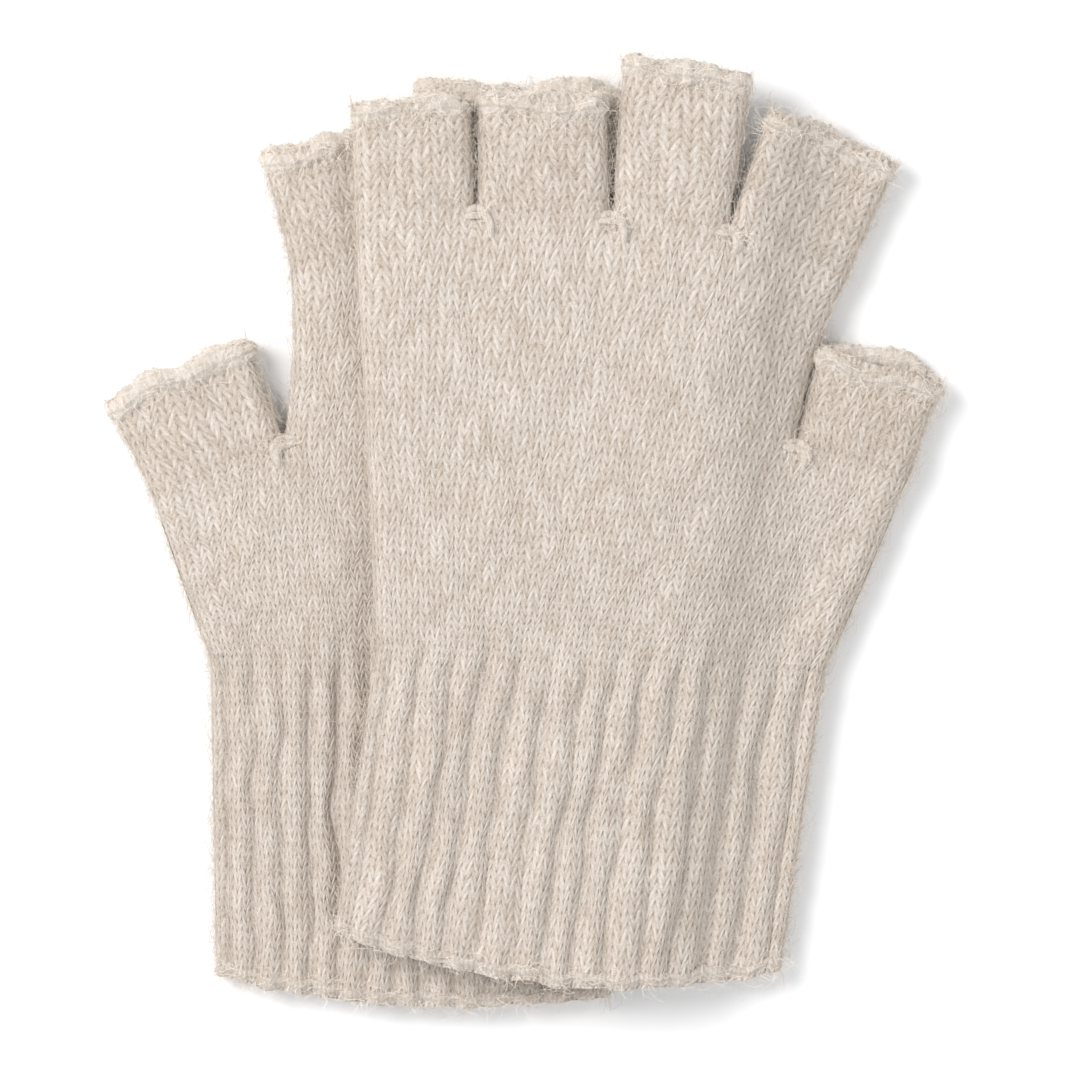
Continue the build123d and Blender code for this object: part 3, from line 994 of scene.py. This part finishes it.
def woolMaterial(name, paintedLight=0.0, stitches=1.0):
    # every leg of a stitch has its own shade at random and grain of fibres along the yarn, plus painted shade
    # and highlight (each leg lighter across its middle, darker at its ends) and painted shade as dark dots
    # where legs meet;
    # the number after the name lightens it all over: painted light, making a lit copy of the same yarn;
    # stitches is how far the legs show
    s = Shader(name)
    uv = s.node("ShaderNodeUVMap", {"uv_map": "stitch"})
    u, v = (s.node("ShaderNodeSeparateXYZ", None, {0: uv}, output=i) for i in (0, 1))
    place = s.node("ShaderNodeTexCoord", None, None, output=3)
    a = (u.fract() - 0.5).size() * 2.0
    lift = v - a * knit["slope"]
    phase = lift.fract()
    cell = s.vector((u * 2.0).floor(), lift.floor())
    random = s.node("ShaderNodeTexWhiteNoise", {"noise_dimensions": "2D"}, {"Vector": cell})
    across = (phase * math.pi).sine()
    ends = (a.least(1.0 - a) * 2.0).unit()
    leg = (u * 2.0).floor() * 3.7 + lift.floor() * 1.3
    hair = s.noise(s.vector(phase * 3.6 + random * 40.0, a * 4.0 + phase * 1.5, leg), 1.0, 4.0, 0.72)
    fleck = s.noise(place, 2300.0, 3.0, 0.7)
    cloud = s.noise(place, 55.0, 4.0, 0.6)
    # painted shade and highlight: each leg lighter across its middle and darker towards its ends, as light
    # falls on round yarn
    legShading = across ** 0.8 * ends ** 1.1
    shade = 0.55 + (random - 0.5) * 0.32 + (hair - 0.5) * 1.4
    shade = shade + (cloud - 0.5) * 0.24 + (fleck - 0.5) * 1.3 + (legShading - 0.45) * 0.36 * stitches
    base = s.mix(shade.unit(), wool["deep"], wool["pale"])
    flecks = ((s.noise(place, 1500.0, 2.0, 0.6) - 0.58) * 6.0).unit() * 0.6
    base = s.mix(flecks, base, wool["fleck"])
    # painted shade: dark dots in the grooves where two legs meet, standing in for the shadow inside the holes
    groove = ((0.24 - phase.least(1.0 - phase)) * 5.0).unit()
    paintedHoleShade = groove * (1.0 - ends * 2.2).unit() * 0.80 * stitches
    base = s.mix(paintedHoleShade.unit(), base, wool["hole"])
    # painted light: the whole surface lightened toward the light colour, for the rolls, the hem and the
    # strands
    base = s.mix(paintedLight, base, wool["light"])
    s.set("Base Color", base)
    s.set("Roughness", 0.95)
    s.set("Specular IOR Level", 0.15)
    s.set("Sheen Weight", 0.35)
    s.set("Sheen Roughness", 0.5)
    s.set("Sheen Tint", (1.0, 0.96, 0.90, 1))
    height = across * 0.2 * stitches + hair * 0.8 + fleck * 0.6
    bump = s.node("ShaderNodeBump", None, {"Strength": 0.7, "Distance": 0.0004, "Height": height})
    s.set("Normal", bump)
    return s.material


def fuzzMaterial(name, colour):
    # single fibres: one soft colour
    s = Shader(name)
    s.set("Base Color", colour)
    s.set("Roughness", 0.8)
    s.set("Specular IOR Level", 0.2)
    s.set("Sheen Weight", 0.2)
    return s.material


fuzzLook = fuzzMaterial("loose_fibres", (0.68, 0.605, 0.52, 1))
# painted light: the fibres of the rolls, the hem and the strands are the same wool, made paler than the
# palm's to stand in for the light they catch
paintedLightFuzz = fuzzMaterial("pale_fibres", (0.92, 0.85, 0.765, 1))
plainLook = woolMaterial("plain_knit_wool")
ribLook = woolMaterial("ribbed_knit_wool")
# painted light: the rolls, the hem and the strands are the same yarn as the palm, lightened as if lit more
edgeLook = woolMaterial("edge_wool", 0.30, 0.6)
hemLook = woolMaterial("hem_wool", 0.06, 0.6)
strandLook = woolMaterial("joining_wool", 0.22, 0.0)
print("materials made")


# the gloves

def dressPalm(glove, seed):
    # two tubes in one: under the fingers the whole height, beside the thumb up to its crotch
    side = glove["side"]
    nf, nt = float(palmWales["fingers"]), float(palmWales["thumb"])
    whole, crotch = float(palmCourses["whole"]), float(palmCourses["crotch"])
    planAt = lambda w, c: palmPlan(glove, w, c)
    shared = [24, 20, 16, 12, 8, 5, 3, 1, 0]        # courses of the inner face's rows
    patches = [(planAt, (0.0, nf, 0.0, whole), [42, 41, 39, 36, 33, 30, 27] + shared),
               (planAt, (nf, nf + nt, 0.0, crotch), shared)]
    palm = fabricPiece(glove, f"{side}_palm_knit", patches, [plainLook, fuzzLook], fuzz["palm"], seed)
    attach(palm, f"{side}_hand")
    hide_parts(f"{side}_palm")
    print(side, "palm", len(palm.data.polygons))


def dressCuff(glove, seed):
    # the ribbed tube; its hem rides on the part that folds
    side = glove["side"]
    length = glove["cuff"]["courses"]
    count = float(palmWales["fingers"] + palmWales["thumb"])
    planAt = lambda w, c: cuffPlanKnit(glove, w, c)
    rows = [0, -1, -3, -6, -10, -15, -20, -length + 4, -length]
    patches = [(planAt, (0.0, count, -length, 0.0), rows)]
    cuff = fabricPiece(glove, f"{side}_cuff_rib", patches, [ribLook, fuzzLook], fuzz["cuff"], seed + 1)
    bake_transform(cuff)
    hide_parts(f"{side}_cuff")
    edge = cuffHem(glove, [hemLook, paintedLightFuzz], seed + 2)
    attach(edge, f"{side}_wrist")
    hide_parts(f"{side}_cuff_hem")
    print(side, "cuff", len(cuff.data.polygons))


def dressFinger(glove, finger, seed, number):
    # a stall, and the roll at its mouth, which rides on the stall's body
    side = glove["side"]
    stall = glove[finger]
    start, end = stall["start"], stall["start"] + stall["courses"] - 0.6
    planAt = lambda w, c: stallPlan(glove, finger, w, c)
    rows = [end, end - 3, start + 5, start + 2, start]
    patches = [(planAt, (stall["first"], stall["first"] + stall["wales"], start, end), rows)]
    tube = fabricPiece(glove, f"{side}_{finger}_stall_knit", patches, [plainLook, fuzzLook], fuzz["stall"],
                       seed + 10 + number)
    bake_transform(tube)
    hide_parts(f"{side}_{finger}_stall")
    edge = rolledEdge(glove, finger, [edgeLook, paintedLightFuzz], seed + 20 + number)
    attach(edge, stall["body"])
    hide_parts(f"{side}_{finger}_rolled_edge")


def dress(glove, seed):
    # every piece of one glove
    side = glove["side"]
    dressPalm(glove, seed)
    dressCuff(glove, seed)
    for number, finger in enumerate((*fingerNames, "thumb")):
        dressFinger(glove, finger, seed, number)
    strands = joiningStrands(glove, [strandLook, paintedLightFuzz], seed + 30)
    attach(strands, f"{side}_hand")
    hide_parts(f"{side}_joining_stitches")
    print(side, "stalls, edges and strands")


dress(gloves["left"], 100)
dress(gloves["right"], 200)


# floor, light and camera

centre = (np.array([*cadBox[0]]) + np.array([*cadBox[1]])) / 2
studio = {
    "key": {"place": (-1.15, 0.6, 1.35), "size": 1.0, "power": 31.0, "colour": (1.0, 0.985, 0.98)},
    "fill": {"place": (1.1, -0.7, 1.2), "size": 1.3, "power": 8.5, "colour": (0.98, 0.985, 1.0)},
    "sky": (0.97, 0.985, 1.0, 1),
    "skyStrength": 0.65,
    "viewCentre": (3.47 * mm, -1.82 * mm),
    "viewWidth": 226.8 * mm,
    "viewHeight": 1.6,
    "floor": 6.0,               # half its side
}


def makeFloor():
    # one pale square under everything
    half = studio["floor"]
    corners = [(-half, -half, 0), (half, -half, 0), (half, half, 0), (-half, half, 0)]
    mesh = bpy.data.meshes.new("floor")
    mesh.from_pydata(corners, [], [(0, 1, 2, 3)])
    floor = bpy.data.objects.new("floor", mesh)
    bpy.context.scene.collection.objects.link(floor)
    s = Shader("floor_paper")
    s.set("Base Color", (0.92, 0.92, 0.92, 1))
    s.set("Roughness", 0.9)
    s.set("Specular IOR Level", 0.1)
    mesh.materials.append(s.material)


def makeLamp(name):
    # a round area lamp turned to the middle of the gloves
    look = studio[name]
    data = bpy.data.lights.new(name, "AREA")
    data.shape = "DISK"
    data.size = look["size"]
    data.energy = look["power"]
    data.color = look["colour"]
    lamp = bpy.data.objects.new(name, data)
    bpy.context.scene.collection.objects.link(lamp)
    lamp.location = look["place"]
    way = Vector((centre[0], centre[1], 0)) - lamp.location
    lamp.rotation_euler = way.to_track_quat("-Z", "Y").to_euler()


def makeWorld():
    # an even pale sky
    world = bpy.data.worlds.new("studio")
    world.use_nodes = True
    background = world.node_tree.nodes["Background"]
    background.inputs["Color"].default_value = studio["sky"]
    background.inputs["Strength"].default_value = studio["skyStrength"]
    bpy.context.scene.world = world
    bpy.context.scene.view_settings.view_transform = "Standard"


def makeCamera():
    # straight above; focal length is sensor width times height over the width seen
    data = bpy.data.cameras.new("camera")
    camera = bpy.data.objects.new("camera", data)
    bpy.context.scene.collection.objects.link(camera)
    data.sensor_width = 36
    data.lens = data.sensor_width * studio["viewHeight"] / studio["viewWidth"]
    camera.location = (*studio["viewCentre"], studio["viewHeight"])
    bpy.context.scene.camera = camera


makeFloor()
makeLamp("key")
makeLamp("fill")
makeWorld()
makeCamera()
print("stage set")

triangles = {o.name: sum(len(p.vertices) - 2 for p in o.data.polygons) for o in bpy.data.objects
             if o.type == "MESH" and not o.hide_render}
print("triangles", sum(triangles.values()), sorted(triangles.items(), key=lambda item: -item[1])[:6])
